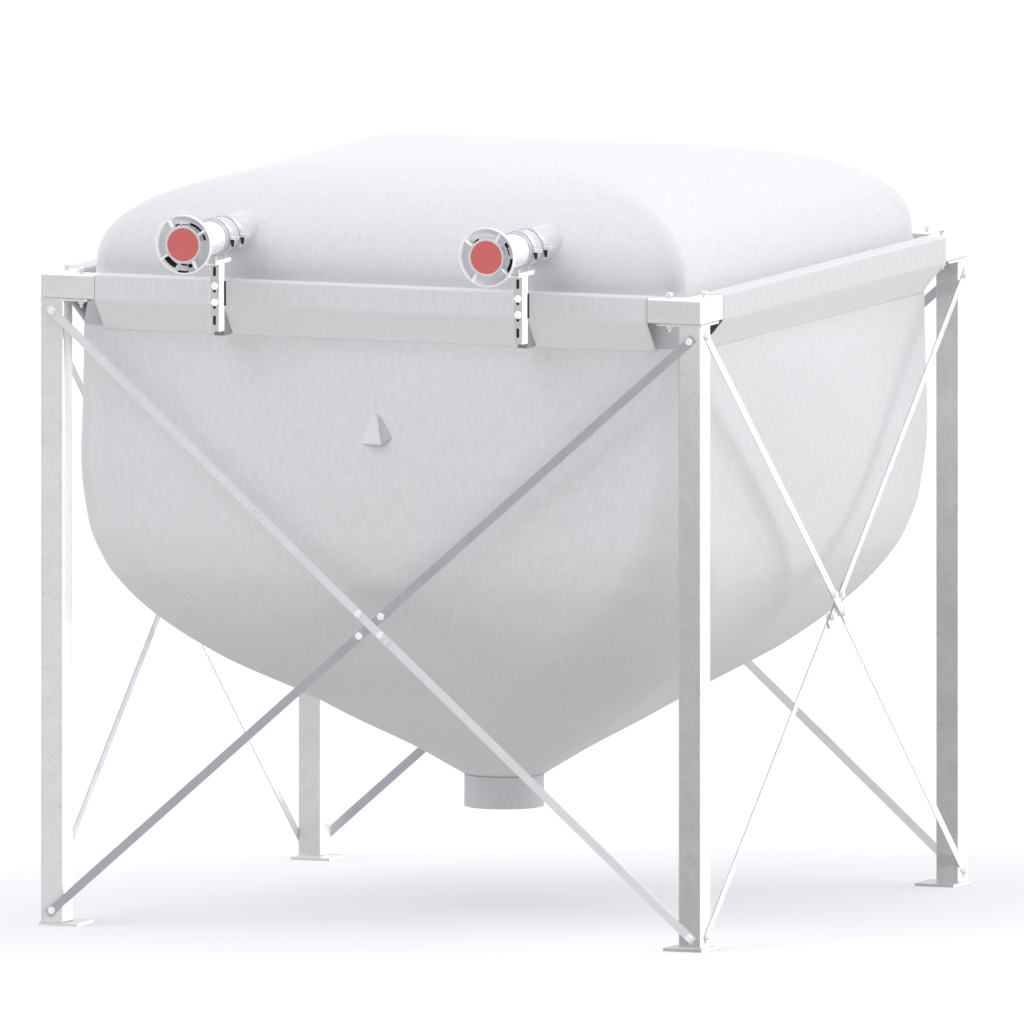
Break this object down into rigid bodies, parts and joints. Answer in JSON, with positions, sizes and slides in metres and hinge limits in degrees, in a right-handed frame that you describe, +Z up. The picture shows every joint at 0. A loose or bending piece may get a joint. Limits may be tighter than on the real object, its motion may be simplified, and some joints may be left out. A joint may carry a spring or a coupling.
{
  "type": "fabric pellet silo",
  "caption": "Free-standing fabric silo for wood pellets: a domed bag with a hopper bottom and round spout, hung in a square braced steel frame, with capped filling pipes at the front.",
  "frame": {"origin": "on the floor, under the middle of the bounding box", "axes": "+Z up; -Y towards the side with the filling couplings; +X to the right when that side is faced"},
  "size_m": [2.0384, 2.2912, 2.133],
  "materials": {
    "galvanised": "galvanised, fine dull spangle",
    "fabric": "white woven polyester, antistatic",
    "bright_steel": "bright zinc plated",
    "casting": "polished casting",
    "red_disc": "plain matte red"
  },
  "bodies": {
    "root": {"leg_front_left": "galvanised", "leg_front_right": "galvanised", "leg_rear_left": "galvanised", "leg_rear_right": "galvanised", "corner_front_left": "galvanised", "corner_front_right": "galvanised", "corner_rear_left": "galvanised", "corner_rear_right": "galvanised", "rail_front": "galvanised", "rail_right": "galvanised", "rail_rear": "galvanised", "rail_left": "galvanised", "brace_front_rising": "galvanised", "brace_front_falling": "galvanised", "brace_right_rising": "galvanised", "brace_right_falling": "galvanised", "brace_rear_rising": "galvanised", "brace_rear_falling": "galvanised", "brace_left_rising": "galvanised", "brace_left_falling": "galvanised", "hem_front": "fabric", "hem_right": "fabric", "hem_rear": "fabric", "hem_left": "fabric", "wall_front": "fabric", "wall_right": "fabric", "wall_rear": "fabric", "wall_left": "fabric", "hopper_front": "fabric", "hopper_right": "fabric", "hopper_rear": "fabric", "hopper_left": "fabric", "roof": "fabric", "spout": "fabric", "wall_hood": "fabric", "filler_left_pipe": "bright_steel", "filler_left_sleeve": "fabric", "filler_left_coupling": "casting", "filler_left_cap": "red_disc", "filler_left_bracket": "bright_steel", "filler_right_pipe": "bright_steel", "filler_right_sleeve": "fabric", "filler_right_coupling": "casting", "filler_right_cap": "red_disc", "filler_right_bracket": "bright_steel"}
  },
  "joints": []
}
